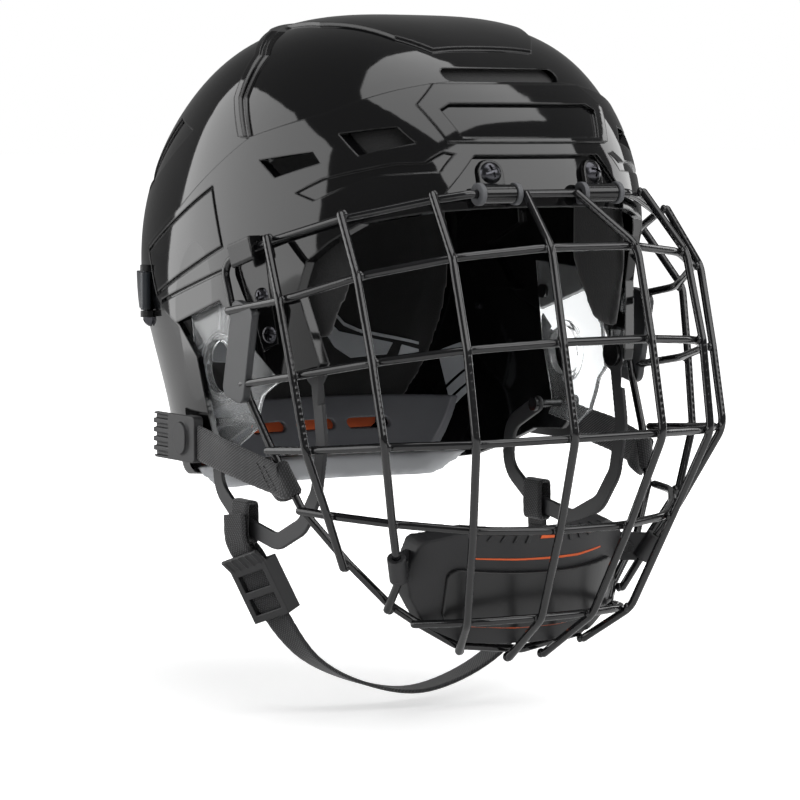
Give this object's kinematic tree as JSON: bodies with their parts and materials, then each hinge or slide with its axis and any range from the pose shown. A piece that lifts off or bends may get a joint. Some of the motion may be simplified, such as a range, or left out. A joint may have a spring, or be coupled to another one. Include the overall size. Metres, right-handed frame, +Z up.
{
  "type": "ice hockey helmet",
  "caption": "Hard helmet in front and rear shells over foam, with clear ear guards and a wire face cage that flips up on brow clips, held by a chin strap and harness.",
  "frame": {"origin": "middle of the head cavity at the level of the ear openings", "axes": "+Z up, the face looks along -Y, +X to the wearer's left"},
  "size_m": [0.2268, 0.3229, 0.3182],
  "materials": {
    "shell_plastic": "satin moulded",
    "liner_foam": "matte foam",
    "pad_plastic": "matte",
    "band_foam": "matte foam",
    "clear_plastic": "clear gloss",
    "clip_plastic": "satin",
    "flange_rubber": "matte",
    "black_steel": "gloss black",
    "tag_rubber": "matte",
    "sling_plastic": "satin",
    "webbing": "woven",
    "cup_plastic": "matte",
    "cup_plate_plastic": "satin",
    "cup_foam": "matte foam"
  },
  "bodies": {
    "front_shell": {"front_shell": "shell_plastic", "front_liner": "liner_foam", "temple_pad_right": "liner_foam", "temple_pad_left": "liner_foam", "ear_guard_right": "clear_plastic", "ear_guard_left": "clear_plastic", "ear_guard_studs": "clip_plastic", "brow_clip_right": "clip_plastic", "brow_clip_left": "clip_plastic", "brow_clip_flanges": "flange_rubber", "brow_clip_screws": "black_steel", "brow_clip_nuts": "black_steel", "temple_bracket_right": "clip_plastic", "temple_bracket_left": "clip_plastic", "temple_bracket_screws": "black_steel", "temple_bracket_nuts": "black_steel", "ear_sling_right": "sling_plastic", "ear_sling_left": "sling_plastic", "ear_sling_studs": "clip_plastic", "chin_strap": "webbing", "short_strap": "webbing", "strap_slider": "clip_plastic"},
    "rear_shell": {"rear_shell": "shell_plastic", "crown_liner": "liner_foam", "rear_liner": "liner_foam", "occiput_pad": "pad_plastic", "nape_band": "band_foam", "clip_anchors": "black_steel", "size_lock_pins": "black_steel", "size_lock_lugs": "clip_plastic", "rear_shell_screws": "black_steel"},
    "cage": {"cage_rim_wire": "black_steel", "cage_upright_wires": "black_steel", "cage_cross_wires": "black_steel", "cage_tag_right": "tag_rubber", "cage_tag_left": "tag_rubber", "chin_cup": "cup_plastic", "chin_cup_liner": "cup_foam", "chin_cup_plate": "cup_plate_plastic", "chin_bracket_right": "clip_plastic", "chin_bracket_left": "clip_plastic", "chin_rivets": "black_steel", "harness_strap_right": "webbing", "harness_strap_left": "webbing", "release_clip_right": "clip_plastic", "release_clip_left": "clip_plastic"},
    "size_lock_right": {"size_lock_right": "clip_plastic"},
    "size_lock_left": {"size_lock_left": "clip_plastic"}
  },
  "joints": [
    {"name": "cage_flip", "type": "hinge", "parent": "front_shell", "child": "cage", "pos_m": [0, -0.1329, 0.0652], "axis": [-1, 0, 0], "range_deg": [0, 110]},
    {"name": "rear_shell_slide", "type": "slide", "parent": "front_shell", "child": "rear_shell", "axis": [0, 1, 0], "range_m": [0, 0.012]},
    {"name": "size_lock_right_turn", "type": "hinge", "parent": "rear_shell", "child": "size_lock_right", "pos_m": [-0.1015, 0.0535, 0.017], "axis": [0, 0, 1], "range_deg": [0, 80]},
    {"name": "size_lock_left_turn", "type": "hinge", "parent": "rear_shell", "child": "size_lock_left", "pos_m": [0.1015, 0.0535, 0.017], "axis": [0, 0, -1], "range_deg": [0, 80]}
  ]
}
